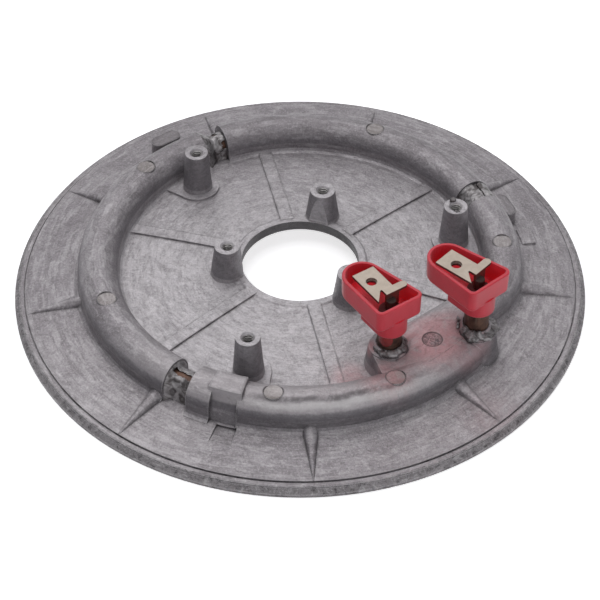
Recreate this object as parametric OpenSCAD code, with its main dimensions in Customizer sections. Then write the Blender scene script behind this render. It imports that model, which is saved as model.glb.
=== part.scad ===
// Multicooker heating plate, lying underside up on its rim: a shallow domed aluminium casting
// with a tubular heater cast into its ring bead and two terminals under rubber caps.
// The plate's axis is Z, the rim's foot is on z = 0, and the terminals are at the front right.

/* [Plate] */
// Outer diameter at the foot of the rim
plate_d = 180; // [176:1:190]
// Radius of the spherical dish in the heating face
dish_r = 710; // [600:10:900]
// Thickness of the web and flange
web_t = 3; // [2.6:0.1:3.4]
// Width of the flat foot under the rim
foot_w = 1.5; // [1:0.1:2.5]
// Height of the outer wall below the sloped edge
rim_wall_h = 1; // [0.6:0.1:1.4]
// Width of the sloped edge outside the rim lip
rim_slope_w = 1.4; // [1:0.1:1.8]
// Width of the rim lip's flat top
lip_w = 1.6; // [1:0.1:2.4]
// Height of the rim lip
lip_h = 2.85; // [2.6:0.05:3.1]
// Width of the groove inside the rim lip
groove_w = 0.4; // [0.3:0.1:0.8]
// Depth of the groove inside the rim lip
groove_h = 0.35; // [0.2:0.05:0.6]
// Diameter of the centre hole
hole_d = 37; // [34:0.5:38]
// Width of the raised edge round the centre hole
hole_lip_w = 2.8; // [2:0.1:3.4]
// Height of the raised edge round the centre hole
hole_lip_h = 0.5; // [0.3:0.1:0.9]

/* [Heater tube] */
// Radius of the ring that the tube's axis follows
ring_r = 63.4; // [61:0.2:66]
// Height of the tube's axis in the ring
tube_z = 9; // [8.4:0.1:9.8]
// Outer diameter of the sheath
tube_d = 7.4; // [6.6:0.1:8]
// Wall of the sheath
tube_wall = 0.6; // [0.4:0.1:1]
// Diameter of the cold pins, and of the winding between them
pin_d = 3; // [2.4:0.1:3.4]
// Angle of the right terminal on the ring
right_post_a = -35; // [-38:0.5:-32]
// Angle at which the left tail leaves the ring
tail_a = -5; // [-8:0.5:-3]
// Radius of the tail's bend
tail_bend = 22; // [19:0.5:24]
// Heading of the tail's straight run to the left terminal
tail_heading = -141.8; // [-146:0.1:-138]
// Length of the tail's straight run
tail_run = 28.3; // [26:0.1:30]
// Radius of the bends that turn both ends upright
lead_bend = 8; // [7:0.5:9]
// Length of the right cold pin along the ring
right_cold = 30; // [20:1:50]

/* [Ring bead] */
// Aluminium beside and above the tube
bead_cover = 2.55; // [2:0.05:3]
// Size of the fillet at the bead's foot
bead_fillet = 1.4; // [0.8:0.1:2]
// Angle taken by each gap in the bead
gap_w = 7; // [5:0.5:8]
// Angle of the gap at the back left
gap_back_a = 118; // [112:1:122]
// Angle of the gap at the right
gap_right_a = 25; // [22:1:29]
// Angle of the gap at the front left
gap_front_a = 238; // [233:1:240]
// Angle taken by the collar beside the front gap
collar_w = 5.2; // [4:0.2:7]
// Growth of the collar over the bead
collar_h = 0.6; // [0.3:0.1:1]
// Angle taken by the saddle block beside the collar
saddle_w = 8.8; // [7:0.2:11]
// Height of the saddle block's flat top
saddle_z = 16; // [15.4:0.1:17]
// Width of the saddle block's flat top
saddle_top_w = 7; // [5:0.5:8]
// Width of the saddle block at its foot
saddle_foot_w = 13.4; // [13:0.2:15]

/* [Terminal bases] */
// Height of the platform between the terminals
platform_z = 14.2; // [13.6:0.1:14.6]
// Diameter of each base at its foot
base_foot_d = 15.2; // [14.4:0.2:16.4]
// Diameter of each base at its top
base_top_d = 12.2; // [11.6:0.2:13]
// Height of each base
base_z = 14.6; // [14.6:0.1:15]
// Height to which the metal creeps up the left lead
left_creep = 1.4; // [0.8:0.1:2.4]
// Height to which the metal creeps up the right lead
right_creep = 2.4; // [1:0.1:3]

/* [Bosses] */
// Pitch circle of the tall bosses
tall_pcd = 100; // [98:0.5:101]
// Angle of the first tall boss
tall_a = 12.2; // [10:0.2:14]
// Height of the tall bosses
tall_z = 22; // [20:0.5:24]
// Top diameter of the tall bosses
tall_top_d = 7.4; // [7:0.1:8.4]
// Foot diameter of the tall bosses
tall_foot_d = 10; // [9.4:0.1:11]
// Width of the flat pad round a tall boss
pad_w = 13.8; // [12.6:0.2:15]
// Height of the flat pad round a tall boss
pad_h = 0.9; // [0.7:0.1:1.3]
// Pitch circle of the short bosses
short_pcd = 46; // [45:0.5:48]
// Angle of the first short boss
short_a = 71.8; // [70:0.2:74]
// Height of the short bosses
short_z = 19.1; // [17:0.1:21]
// Top diameter of the short bosses
short_top_d = 7.9; // [7:0.1:8.4]
// Foot diameter of the short bosses
short_foot_d = 11.4; // [10:0.2:12]
// Core diameter of the threads in the bosses
thread_d = 3.3; // [3:0.1:4.2]
// Mouth diameter of the countersinks over the threads
sink_d = 4.5; // [4.4:0.1:5.2]
// Metal left under each threaded hole, over the dish
boss_floor = 3.6; // [3:0.2:5]
// Distance by which the short bosses stay back from the centre hole
boss_setback = 0.4; // [0.2:0.1:0.8]

/* [Spokes and ribs] */
// Number of spokes on the web
spoke_n = 6; // [3:1:9]
// Angle of the first spoke
spoke_a = 42; // [40:0.5:44]
// Width of a spoke
spoke_w = 4.2; // [3:0.2:6]
// Height of a spoke over the web
spoke_h = 0.65; // [0.4:0.05:0.65]
// Number of ribs on the flange
rib_n = 9; // [6:1:12]
// Angle of the first rib
rib_a = -7.5; // [-9:0.5:-6]
// Width of a rib at the ring bead
rib_w = 5; // [4:0.2:6]
// Distance from the rib's tip to the plate's edge
rib_edge = 3.5; // [3.2:0.1:8]

/* [Small features] */
// Length of the oblong blocks on the flange
block_l = 10.6; // [9:0.2:12]
// Width of the oblong blocks on the flange
block_w = 5.2; // [4.6:0.2:6]
// Height of the oblong blocks' tops
block_z = 9.8; // [9:0.1:12]
// Diameter of the ejector pin marks
mark_d = 5.9; // [4:0.1:6.4]
// Depth of the ejector pin marks under the bead's crown
mark_h = 0.35; // [0.25:0.05:0.5]
// Step of the two small pads on the flange
step_h = 0.45; // [0.3:0.05:0.8]

/* [Rubber caps] */
// Height of the left cap's rim
left_rim_z = 34.2; // [33:0.1:36]
// Height of the right cap's rim
right_rim_z = 36.2; // [34:0.1:38]
// Direction in which the left cap points
left_cap_a = -55.5; // [-60:0.5:-50]
// Direction in which the right cap points
right_cap_a = -49.5; // [-55:0.5:-45]
// Height of the cup
cup_h = 7.4; // [6.6:0.1:9]
// Wall and floor of the cup
cup_wall = 1.1; // [0.9:0.1:1.4]
// Distance from the lead to the cup's square end
cup_front = 4.8; // [4.6:0.1:6]
// Distance from the lead to the cup's round end
cup_back = 18.2; // [17.6:0.1:20]
// Radius of the cup's round end
cup_back_r = 6.2; // [5.8:0.1:7]
// Radius of the cup's square corners
cup_corner_r = 2.1; // [1.6:0.1:3]
// Depth of the neck under the cup
neck_h = 4.7; // [3.6:0.1:5.4]
// Outer diameter of the neck round the lead
neck_d = 10.1; // [9.6:0.1:10.8]
// Distance from the lead to the neck's square end
neck_back = 7.5; // [6:0.1:9]

/* [Terminal tabs] */
// Direction in which the left tab points
left_tab_a = -56; // [-60:0.5:-52]
// Direction in which the right tab points
right_tab_a = -42; // [-50:0.5:-40]
// Thickness of the tab's sheet
tab_t = 0.8; // [0.6:0.1:0.9]
// Length of the tab's plate
tab_l = 9.6; // [8.6:0.1:10]
// Width of the tab's plate
tab_w = 7.5; // [6.5:0.1:8]
// Width of the strip that crosses to the leg
strip_w = 2.5; // [2.2:0.1:2.8]
// Reach of the strip beside the pin
strip_reach = 6.8; // [6.2:0.1:7]
// Width of the leg that meets the pin
leg_w = 4.5; // [3.2:0.1:5]
// Core diameter of the tab's threaded hole
tab_thread_d = 3.3; // [2.8:0.1:3.4]
// Diameter of the rim drawn round the tab's hole
tab_collar_d = 4.7; // [4.4:0.1:5]
// Depth of the rim drawn round the tab's hole
tab_collar_h = 1; // [0.6:0.1:1.4]
// Depth of the seal in the sheath's mouth
seal_depth = 4; // [2:0.5:5]
// Height of the seal's head over the sheath
seal_head = 1.3; // [0.8:0.1:1.6]

/* [Hidden] */
$fn = 96;
hull_fn = 32;
eps = 0.01;

plate_r = plate_d / 2;
hole_r = hole_d / 2;
dish_edge_r = plate_r - foot_w;
lip_outer_r = plate_r - rim_slope_w;
lip_inner_r = lip_outer_r - lip_w;
flange_r = lip_inner_r - groove_w;
tube_r = tube_d / 2;
fill_r = tube_r - tube_wall;
pin_r = pin_d / 2;
bead_r = tube_r + bead_cover;
tall_r = tall_pcd / 2;
short_r = short_pcd / 2;
above = 60;
joint_gap = 0.15;
joint_swell = 0.05;
joint_l = 1;

function dish_z(r) = sqrt(dish_r ^ 2 - r ^ 2) - sqrt(dish_r ^ 2 - dish_edge_r ^ 2);
function web_z(r) = dish_z(r) + web_t;
function polar(r, a) = [r * cos(a), r * sin(a)];
function arc_angle(length, r) = length / r * 180 / PI;

// Height of the raised edge's top round the centre hole
hole_lip_z = web_z(hole_r + hole_lip_w) + hole_lip_h;

// The tube's route: right lead, ring, tail bend, straight run, left lead
ring_end_a = 360 + right_post_a - atan(lead_bend / ring_r);
right_heading = ring_end_a + 90;
right_post = polar(ring_r, ring_end_a) + polar(lead_bend, right_heading);
tail_c = polar(ring_r - tail_bend, tail_a);
tail_end_a = tail_heading + 90;
tail_end = tail_c + polar(tail_bend, tail_end_a);
left_post = tail_end + polar(tail_run + lead_bend, tail_heading);
lead_z = tube_z + lead_bend;
cold_end_a = ring_end_a - arc_angle(right_cold, ring_r);

// A level inside the web everywhere under the bead and the terminal bases
foot_z = (dish_z(norm(left_post) - bead_r) + web_z(ring_r + bead_r)) / 2;

saddle_from_a = gap_front_a + gap_w / 2 + collar_w;
saddle_to_a = saddle_from_a + saddle_w;

left_mouth_z = left_rim_z - cup_h + cup_wall;
right_mouth_z = right_rim_z - cup_h + cup_wall;
tab_clear = 0.4;
pin_short = 1.2;

// Angles on the ring of the ejector pin marks, and the place of the one on the platform
mark_angles = [1.8, 66.7, 142.7, 202.3, 263, 296];
platform_mark = [39.2, -40.6];

// Radius and angle of each oblong block, and of each small pad's start on the flange
block_places = [[74.9, 127.2], [70.9, 21.1]];
raised_pad_at = [72.2, 9.2];
raised_pad_w = 4.4;
raised_pad_turn = 5.6;
sunk_pad_at = [70.6, -110.1];
sunk_pad_w = 6.2;
sunk_pad_turn = 5;

// The cup's outline is drawn by three circles: the round end and the two square corners
cup_right = 7.5;
cup_left = 8.5;
cup_round_side = 1.4;
cup_circles = [
    [-cup_back + cup_back_r, -cup_round_side, cup_back_r],
    [cup_front - cup_corner_r, -cup_right + cup_corner_r, cup_corner_r],
    [cup_front - cup_corner_r, cup_left - cup_corner_r, cup_corner_r]
];

// The tab's outline: its plate, the spur beside the notch, and the strip that carries the leg
strip_gap = 0.7;
plate_from = -strip_gap - strip_w;
plate_side = -4.8;
spur_tip = [0.5, plate_side];
notch_side = plate_side + 3.2;
leg_side = -1.1;
hole_side = plate_side + 3.3;
hole_shift = 0.3;

module casting_colour() color("#a39ea3") children();
module sheath_colour() color("#4a3a32") children();
module rubber_colour() color("#b8404c") children();
module tab_colour() color("#beb4a5") children();
module pin_colour() color("#8f8c8a") children();

module ring_sweep(from_a, to_a) {
    rotate(from_a)
        rotate_extrude(angle = to_a - from_a)
            translate([ring_r, tube_z]) children();
}

module tail_sweep(from_trim = 0, to_trim = 0) {
    translate(tail_c)
        rotate(tail_end_a + from_trim)
            rotate_extrude(angle = tail_a - tail_end_a - from_trim - to_trim)
                translate([tail_bend, tube_z]) children();
}

module straight_sweep(from, to) {
    translate([tail_end.x, tail_end.y, tube_z])
        rotate(tail_heading)
            rotate([90, 0, 90])
                translate([0, 0, from]) linear_extrude(to - from) children();
}

// A slightly swollen sleeve where two lengths of the tube meet, along a heading or upright
module sleeve(at, z, r, heading = undef) {
    translate([at.x, at.y, z])
        rotate([0, is_undef(heading) ? 0 : 90, is_undef(heading) ? 0 : heading])
            cylinder(r = r + joint_swell, h = joint_l, center = true);
}

// One upright end: the quarter bend out of the plate's plane and the lead above it
module upright_end(post, heading, r, top_z) {
    trim = arc_angle(joint_gap, lead_bend);
    start = post - polar(lead_bend, heading);
    translate([post.x, post.y, lead_z])
        rotate(heading)
            translate([-lead_bend, 0, 0])
                rotate([90, 0, 0])
                    rotate(trim - 90)
                        rotate_extrude(angle = 90 - 2 * trim)
                            translate([lead_bend, 0]) circle(r);
    translate([post.x, post.y, lead_z + joint_gap]) cylinder(r = r, h = top_z - lead_z - joint_gap);
    sleeve(post, lead_z, r);
    sleeve(start, tube_z, r, heading);
}

// The tail's bend and the ring up to an angle, as a solid rod
module heated_length(r, from_trim, to_a) {
    tail_sweep(from_trim, arc_angle(joint_gap, tail_bend)) circle(r);
    sleeve(polar(ring_r, tail_a), tube_z, r, tail_a + 90);
    ring_sweep(tail_a + arc_angle(joint_gap, ring_r), to_a) circle(r);
}

// The tube's whole route as a solid rod, up to the heights given for its two ends
module heater_route(r, left_top_z, right_top_z) {
    upright_end(left_post, tail_heading, r, left_top_z);
    straight_sweep(joint_gap, tail_run - joint_gap) circle(r);
    sleeve(tail_end, tube_z, r, tail_heading);
    heated_length(r, arc_angle(joint_gap, tail_bend), ring_end_a - arc_angle(joint_gap, ring_r));
    upright_end(right_post, right_heading, r, right_top_z);
}

module left_pin_rod(top_z) {
    upright_end(left_post, tail_heading, pin_r, top_z);
    straight_sweep(0, tail_run - joint_gap) circle(pin_r);
}

module right_pin_rod(top_z) {
    ring_sweep(cold_end_a, ring_end_a - arc_angle(joint_gap, ring_r)) circle(pin_r);
    upright_end(right_post, right_heading, pin_r, top_z);
}

// Revolved section of the dished web, the flange and the rim
module plate_body() {
    step = (flange_r - hole_r - hole_lip_w) / 8;
    under = [for (i = [0:9]) let (r = hole_r + (dish_edge_r - hole_r) * i / 9) [r, dish_z(r)]];
    over = [for (i = [0:8]) let (r = flange_r - step * i) [r, web_z(r)]];
    rim = [
        [plate_r, 0],
        [plate_r, rim_wall_h],
        [lip_outer_r, rim_wall_h + rim_slope_w * 0.85],
        [lip_outer_r, lip_h],
        [lip_inner_r, lip_h],
        [lip_inner_r, lip_h - groove_h],
        [flange_r, lip_h - groove_h]
    ];
    hole_lip = [[hole_r + hole_lip_w * 0.75, hole_lip_z], [hole_r, hole_lip_z]];
    rotate_extrude() polygon(concat(under, rim, over, hole_lip));
}

// A layer over the web, cut out by the outlines given as children
module on_web(height, inner_r, outer_r) {
    steps = 6;
    low = [for (i = [0:steps]) let (r = inner_r + (outer_r - inner_r) * i / steps) [r, dish_z(r) + web_t / 2]];
    high = [for (i = [steps:-1:0]) let (r = inner_r + (outer_r - inner_r) * i / steps) [r, web_z(r) + height]];
    intersection() {
        rotate_extrude() polygon(concat(low, high));
        linear_extrude(above) children();
    }
}

module bead_section(growth = 0) {
    r = bead_r + growth;
    inner_z = web_z(ring_r - bead_r) - tube_z;
    outer_z = web_z(ring_r + bead_r) - tube_z;
    circle(r);
    polygon([
        [-r, 0],
        [-r, inner_z + bead_fillet],
        [-r - bead_fillet * 0.3, inner_z + bead_fillet * 0.4],
        [-r - bead_fillet, inner_z - 0.1],
        [-r - bead_fillet, foot_z - tube_z],
        [r + bead_fillet, foot_z - tube_z],
        [r + bead_fillet, outer_z - 0.1],
        [r + bead_fillet * 0.3, outer_z + bead_fillet * 0.4],
        [r, outer_z + bead_fillet],
        [r, 0]
    ]);
}

module saddle_section() {
    polygon([
        [-saddle_foot_w / 2, foot_z - tube_z],
        [saddle_foot_w / 2, foot_z - tube_z],
        [saddle_top_w / 2, saddle_z - tube_z],
        [-saddle_top_w / 2, saddle_z - tube_z]
    ]);
}

// The tail's bead is a touch wider than the lengths of bead that run into it
module ring_bead() {
    half = gap_w / 2;
    lap = 1;
    ring_sweep(tail_a - arc_angle(lap, ring_r), gap_right_a - half) bead_section();
    ring_sweep(gap_right_a + half, gap_back_a - half) bead_section();
    ring_sweep(gap_back_a + half, gap_front_a - half) bead_section();
    ring_sweep(gap_front_a + half, saddle_from_a + 1) bead_section(collar_h);
    ring_sweep(saddle_from_a, saddle_to_a) saddle_section();
    ring_sweep(saddle_to_a - 1, 360 + right_post_a) bead_section();
    tail_sweep() bead_section(0.1);
    straight_sweep(-lap, tail_run + lead_bend) bead_section();
}

module terminal_base(post, creep) {
    translate([post.x, post.y, foot_z])
        cylinder(d1 = base_foot_d, d2 = base_top_d, h = base_z - foot_z);
    translate([post.x, post.y, base_z - eps])
        cylinder(r1 = base_top_d / 2 - 0.2, r2 = tube_r + 0.4, h = creep);
}

module platform() {
    last_a = atan2(left_post.y, left_post.x) - 4;
    step = (right_post_a - last_a) / 4;
    side = left_post + polar(base_top_d / 2, 180);
    ring_points = [for (i = [0:4]) polar(ring_r, right_post_a - step * i)];
    translate([0, 0, foot_z])
        linear_extrude(platform_z - foot_z)
            polygon(concat([left_post, tail_end, right_post], ring_points, [polar(ring_r, last_a - 4), side]));
}

module boss(r, a, top_z, top_d, foot_d) {
    low_z = dish_z(r) + web_t / 2;
    rotate(a) translate([r, 0, low_z]) cylinder(d1 = foot_d, d2 = top_d, h = top_z - low_z);
}

module boss_hole(r, a, top_z) {
    low_z = dish_z(r) + boss_floor;
    sink_h = (sink_d - thread_d) / 2;
    rotate(a) translate([r, 0, 0]) {
        translate([0, 0, low_z]) cylinder(d = thread_d, h = top_z - low_z + 1);
        translate([0, 0, top_z - sink_h]) cylinder(d1 = thread_d, d2 = sink_d + 2 * eps, h = sink_h + eps);
    }
}

module pads() {
    on_web(pad_h, tall_r - pad_w, ring_r) {
        for (i = [0:2]) rotate(tall_a + 120 * i) {
            translate([tall_r, 0]) circle(d = pad_w);
            polygon([
                [tall_r, -pad_w / 2],
                [ring_r - bead_r + 0.5, -pad_w * 0.62],
                [ring_r - bead_r + 0.5, pad_w * 0.62],
                [tall_r, pad_w / 2]
            ]);
        }
    }
}

module spokes() {
    on_web(spoke_h, hole_r + hole_lip_w * 0.5, ring_r - bead_r + 1) {
        for (i = [0:spoke_n - 1]) rotate(spoke_a + 360 / spoke_n * i)
            translate([hole_r, -spoke_w / 2]) square([ring_r - hole_r, spoke_w]);
    }
}

module ribs() {
    from_r = ring_r + bead_r - 1;
    to_r = plate_r - rib_edge;
    fall = web_z(from_r) - web_z(to_r);
    run = norm([to_r - from_r, fall]);
    for (i = [0:rib_n - 1]) rotate(rib_a + 360 / rib_n * i)
        translate([from_r, 0, web_z(from_r)])
            rotate([0, 90 + atan(fall / (to_r - from_r)), 0])
                cylinder(r1 = rib_w / 2, r2 = 0.2, h = run);
}

module oblong_block(r, a) {
    straight = block_l - block_w;
    low_z = dish_z(r) + web_t / 2;
    rotate(a) translate([r, 0, low_z])
        linear_extrude(block_z - low_z) {
            square([block_w, straight], center = true);
            for (s = [-1, 1]) translate([0, s * straight / 2]) circle(d = block_w);
        }
}

module raised_pad() {
    rotate(raised_pad_at.y) rotate_extrude(angle = raised_pad_turn)
        translate([raised_pad_at.x, web_z(raised_pad_at.x) - 1]) square([raised_pad_w, 1 + step_h]);
}

module sunk_pad() {
    middle_r = sunk_pad_at.x + sunk_pad_w / 2;
    rotate(sunk_pad_at.y) rotate_extrude(angle = sunk_pad_turn)
        translate([sunk_pad_at.x, web_z(middle_r) - step_h]) square([sunk_pad_w, 2]);
}

module ejector_places() {
    crown_z = tube_z + bead_r - mark_h;
    for (a = mark_angles) rotate(a) translate([ring_r, 0, crown_z]) children();
}

module plate_casting() {
    casting_colour() difference() {
        union() {
            plate_body();
            ring_bead();
            platform();
            terminal_base(left_post, left_creep);
            terminal_base(right_post, right_creep);
            pads();
            spokes();
            ribs();
            for (i = [0:2]) {
                boss(tall_r, tall_a + 120 * i, tall_z, tall_top_d, tall_foot_d);
                boss(short_r, short_a + 120 * i, short_z, short_top_d, short_foot_d);
            }
            for (place = block_places) oblong_block(place.x, place.y);
            raised_pad();
            ejector_places() translate([0, 0, -4]) cylinder(d = mark_d, h = 4);
        }
        heater_route(tube_r, above, above);
        translate([0, 0, -1]) cylinder(r = hole_r, h = above);
        translate([0, 0, hole_lip_z]) cylinder(r = hole_r + boss_setback, h = above);
        for (i = [0:2]) {
            boss_hole(tall_r, tall_a + 120 * i, tall_z);
            boss_hole(short_r, short_a + 120 * i, short_z);
        }
        ejector_places() cylinder(d = mark_d, h = 2);
        translate([platform_mark.x, platform_mark.y, platform_z - mark_h]) cylinder(d = mark_d, h = 2);
        sunk_pad();
    }
}

module heater_sheath() {
    sheath_colour() difference() {
        heater_route(tube_r, left_mouth_z, right_mouth_z);
        heater_route(fill_r, above, above);
    }
}

module magnesia_fill() {
    color("#e8e4da") difference() {
        heater_route(fill_r, left_mouth_z - seal_depth, right_mouth_z - seal_depth);
        heater_route(pin_r, above, above);
    }
}

module resistance_coil() {
    color("#6f6a66") heated_length(pin_r, 0, cold_end_a);
}

// A flat on the pin's top, against which the tab's leg is welded
module pin_flat(post, tab_a, mouth_z) {
    translate([post.x, post.y, mouth_z + seal_head + tab_clear - eps])
        rotate(tab_a)
            translate([-2 * pin_d - strip_gap, -pin_d, 0])
                cube([2 * pin_d, 2 * pin_d, cup_h]);
}

module terminal_pin_left() {
    pin_colour() difference() {
        left_pin_rod(left_rim_z - pin_short);
        pin_flat(left_post, left_tab_a, left_mouth_z);
    }
}

module terminal_pin_right() {
    pin_colour() difference() {
        right_pin_rod(right_rim_z - pin_short);
        pin_flat(right_post, right_tab_a, right_mouth_z);
    }
}

module end_seal(post, mouth_z) {
    translate([post.x, post.y, mouth_z]) difference() {
        union() {
            translate([0, 0, -seal_depth]) cylinder(r = fill_r, h = seal_depth + eps);
            cylinder(r = tube_r - 0.2, h = seal_head);
        }
        translate([0, 0, -seal_depth - 1]) cylinder(r = pin_r, h = seal_depth + seal_head + 2);
    }
}

module end_seal_left() {
    color("#d9d2c4") end_seal(left_post, left_mouth_z);
}

module end_seal_right() {
    color("#d9d2c4") end_seal(right_post, right_mouth_z);
}

module cup_loft(levels) {
    hull()
        for (level = levels)
            for (c = cup_circles)
                translate([c[0], c[1], level[0]])
                    cylinder(r = c[2] - level[1], h = eps, $fn = hull_fn);
}

module insulator_cap() {
    draft = 0.15;
    soft = 0.7;
    difference() {
        union() {
            cup_loft([
                [-cup_h, soft + draft],
                [-cup_h + soft * 0.3, soft * 0.3 + draft],
                [-cup_h + soft, draft],
                [-0.25 - eps, 0],
                [-eps, 0.2]
            ]);
            translate([0, 0, -cup_h - neck_h]) {
                cylinder(d = neck_d, h = neck_h + cup_wall);
                translate([-neck_back, -neck_d / 2, 0]) cube([neck_back, neck_d, neck_h + cup_wall]);
            }
        }
        cup_loft([
            [-cup_h + cup_wall, cup_wall + soft],
            [-cup_h + cup_wall + soft, cup_wall + draft],
            [eps, cup_wall - 0.1]
        ]);
        translate([0, 0, -cup_h - neck_h - 1]) cylinder(r = tube_r, h = neck_h + cup_wall + 2);
    }
}

module insulator_cap_left() {
    rubber_colour() translate([left_post.x, left_post.y, left_rim_z]) rotate(left_cap_a) insulator_cap();
}

module insulator_cap_right() {
    rubber_colour() translate([right_post.x, right_post.y, right_rim_z]) rotate(right_cap_a) insulator_cap();
}

module terminal_tab(leg_h) {
    hole_at = [plate_from - tab_l / 2 + hole_shift, hole_side];
    strip_end = strip_reach - strip_w / 2;
    difference() {
        union() {
            linear_extrude(tab_t) {
                polygon([
                    [plate_from - tab_l, plate_side],
                    spur_tip,
                    [plate_from, notch_side],
                    [plate_from, leg_side],
                    [-strip_gap, leg_side],
                    [-strip_gap, strip_end],
                    [plate_from, strip_end],
                    [plate_from, plate_side + tab_w],
                    [plate_from - tab_l, plate_side + tab_w]
                ]);
                translate([-strip_gap - strip_w / 2, strip_end]) circle(d = strip_w);
            }
            translate([-strip_gap - tab_t, leg_side, -leg_h]) cube([tab_t, leg_w, leg_h + tab_t]);
            translate([hole_at.x, hole_at.y, -tab_collar_h]) cylinder(d = tab_collar_d, h = tab_collar_h + eps);
        }
        translate([hole_at.x, hole_at.y, -tab_collar_h - 1]) cylinder(d = tab_thread_d, h = tab_collar_h + tab_t + 2);
    }
}

module terminal_tab_left() {
    leg_h = left_rim_z - left_mouth_z - seal_head - tab_clear;
    tab_colour() translate([left_post.x, left_post.y, left_rim_z]) rotate(left_tab_a) terminal_tab(leg_h);
}

module terminal_tab_right() {
    leg_h = right_rim_z - right_mouth_z - seal_head - tab_clear;
    tab_colour() translate([right_post.x, right_post.y, right_rim_z]) rotate(right_tab_a) terminal_tab(leg_h);
}

plate_casting();
heater_sheath();
magnesia_fill();
resistance_coil();
terminal_pin_left();
terminal_pin_right();
end_seal_left();
end_seal_right();
insulator_cap_left();
insulator_cap_right();
terminal_tab_left();
terminal_tab_right();
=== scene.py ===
"""Looks of the multicooker heating plate.

The finish of the casting, the torn skins over its gaps, the flash round the leads, the rubber caps,
the tabs and the threads.
"""

import math
import random

import bmesh
import bpy
from mathutils import Matrix, Vector, noise


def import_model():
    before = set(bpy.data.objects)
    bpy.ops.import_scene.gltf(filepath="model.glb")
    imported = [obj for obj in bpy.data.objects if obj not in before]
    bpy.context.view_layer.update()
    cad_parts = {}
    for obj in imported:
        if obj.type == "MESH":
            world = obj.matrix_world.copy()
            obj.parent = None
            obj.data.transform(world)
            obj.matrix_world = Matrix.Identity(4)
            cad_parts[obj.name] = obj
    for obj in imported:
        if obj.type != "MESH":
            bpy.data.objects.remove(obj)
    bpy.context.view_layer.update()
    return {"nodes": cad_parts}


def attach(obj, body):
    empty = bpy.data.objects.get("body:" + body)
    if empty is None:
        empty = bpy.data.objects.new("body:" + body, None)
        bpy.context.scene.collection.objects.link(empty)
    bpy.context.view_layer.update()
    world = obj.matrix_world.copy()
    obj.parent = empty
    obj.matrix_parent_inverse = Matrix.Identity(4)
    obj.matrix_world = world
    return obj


MM = 0.001

# Places of the plate's features, in millimetres and degrees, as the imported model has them
RING_R = 63.4
TUBE_Z = 9.0
TUBE_R = 3.7
BEAD_R = 6.25
GAP_W = 7.0
GAP_BACK_A, GAP_RIGHT_A, GAP_FRONT_A = 118.0, 25.0, 238.0
TALL_R, TALL_A, TALL_Z = 50.0, 12.2, 22.0
SHORT_R, SHORT_A, SHORT_Z = 23.0, 71.8, 19.1
HOLE_R = 18.5
THREAD_R = 1.65
TALL_THREAD_L, SHORT_THREAD_L, THREAD_SINK = 9, 8, 0.75
LEFT_POST = (26.32, -43.35)
RIGHT_POST = (52.35, -36.65)
TAIL_HEADING = 38.2
BASE_Z = 14.6
DISH_R, DISH_EDGE_R, WEB_T = 710.0, 88.5, 3.0
LIP_R = 88.0
TURNING_PITCH = 0.7
MARK_R = 2.95
MARK_ANGLES = (1.8, 66.7, 142.7, 202.3, 263.0, 296.0)
PLATFORM_MARK = (39.2, -41.6)
TAB_HOLES = ((20.771, -37.801, 35.0), (45.620, -32.616, 37.0))
TAB_HOLE_DEPTH = 1.8
SPOKE_N, SPOKE_A, SPOKE_SEAM_A, SPOKE_HALF_W = 6, 42.0, 342.0, 2.1
RIB_N, RIB_A, RIB_HALF_W, RIB_FROM_R, RIB_TIP_R = 9, -7.5, 2.5, 68.65, 86.5
LAP_A, LAP_R = -80.0, 65.6
SADDLE = (-20.8, -60.0, 13.0)
BLOCKS = ((-45.3, 59.7, 9.5), (66.1, 25.5, 9.5))
RAISED_PAD = (73.4, 15.6, 5.0)


def web_z(r):
    """Height of the web's upper face at a radius, in millimetres."""
    return math.sqrt(DISH_R**2 - r**2) - math.sqrt(DISH_R**2 - DISH_EDGE_R**2) + WEB_T


def smooth(x):
    """Rises smoothly from 0 to 1."""
    x = min(1.0, max(0.0, x))
    return x * x * (3 - 2 * x)


def on_ring(r, angle, z):
    """A point in metres from a radius, an angle and a height."""
    a = math.radians(angle)
    return Vector((r * math.cos(a), r * math.sin(a), z)) * MM


def make_camera():
    """The photograph's viewpoint: 43.8 degrees above the horizontal, in front of the plate."""
    data = bpy.data.cameras.new("camera")
    data.sensor_width = 36
    data.lens = 113.29
    data.clip_start = 0.01
    camera = bpy.data.objects.new("camera", data)
    camera.location = (-0.00003, -0.43760, 0.41078)
    camera.rotation_euler = (math.radians(46.216), 0, 0)
    bpy.context.scene.collection.objects.link(camera)
    bpy.context.scene.camera = camera


def area_light(name, location, target, size, power):
    """A rectangular soft light that faces a point."""
    data = bpy.data.lights.new(name, "AREA")
    data.shape = "RECTANGLE"
    data.size, data.size_y = size
    data.energy = power
    light = bpy.data.objects.new(name, data)
    light.location = location
    aim = Vector(target) - Vector(location)
    light.rotation_euler = aim.to_track_quat("-Z", "Y").to_euler()
    bpy.context.scene.collection.objects.link(light)


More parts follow.
